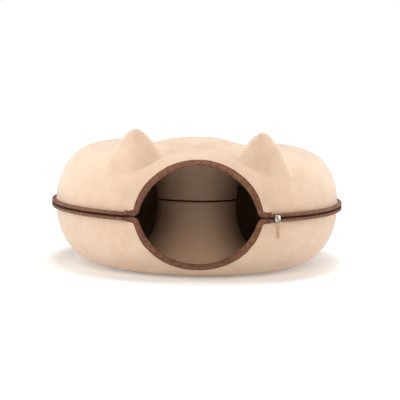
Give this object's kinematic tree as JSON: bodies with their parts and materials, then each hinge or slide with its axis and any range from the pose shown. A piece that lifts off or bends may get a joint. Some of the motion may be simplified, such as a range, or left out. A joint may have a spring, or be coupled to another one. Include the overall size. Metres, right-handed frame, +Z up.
{
  "type": "pet cave bed",
  "caption": "Ring-shaped pet cave bed of moulded felt: a hollow ring in two zipped halves with a bound round entrance and cat ears.",
  "frame": {"origin": "on the floor under the middle of the bed's footprint", "axes": "+Z up, +X to the right as seen from the front, the entrance faces -Y"},
  "size_m": [0.6192, 0.59, 0.2912],
  "materials": {
    "felt": "matt fibrous felt, warm beige with slight mottling",
    "tape": "dark brown woven tape folded over the edges",
    "coil": "dark brown nylon zip",
    "metal": "bright nickel-plated zip slider",
    "pull": "narrow beige strip"
  },
  "bodies": {
    "root": {"upper_half": "felt", "lower_half": "felt", "upper_arch_binding": "tape", "lower_arch_binding": "tape", "upper_zip_tape": "tape", "lower_zip_tape": "tape", "zip_coil": "coil", "hole_seam_strip": "coil", "zip_slider": "metal", "slider_loop": "metal", "slider_pull": "pull"}
  },
  "joints": []
}
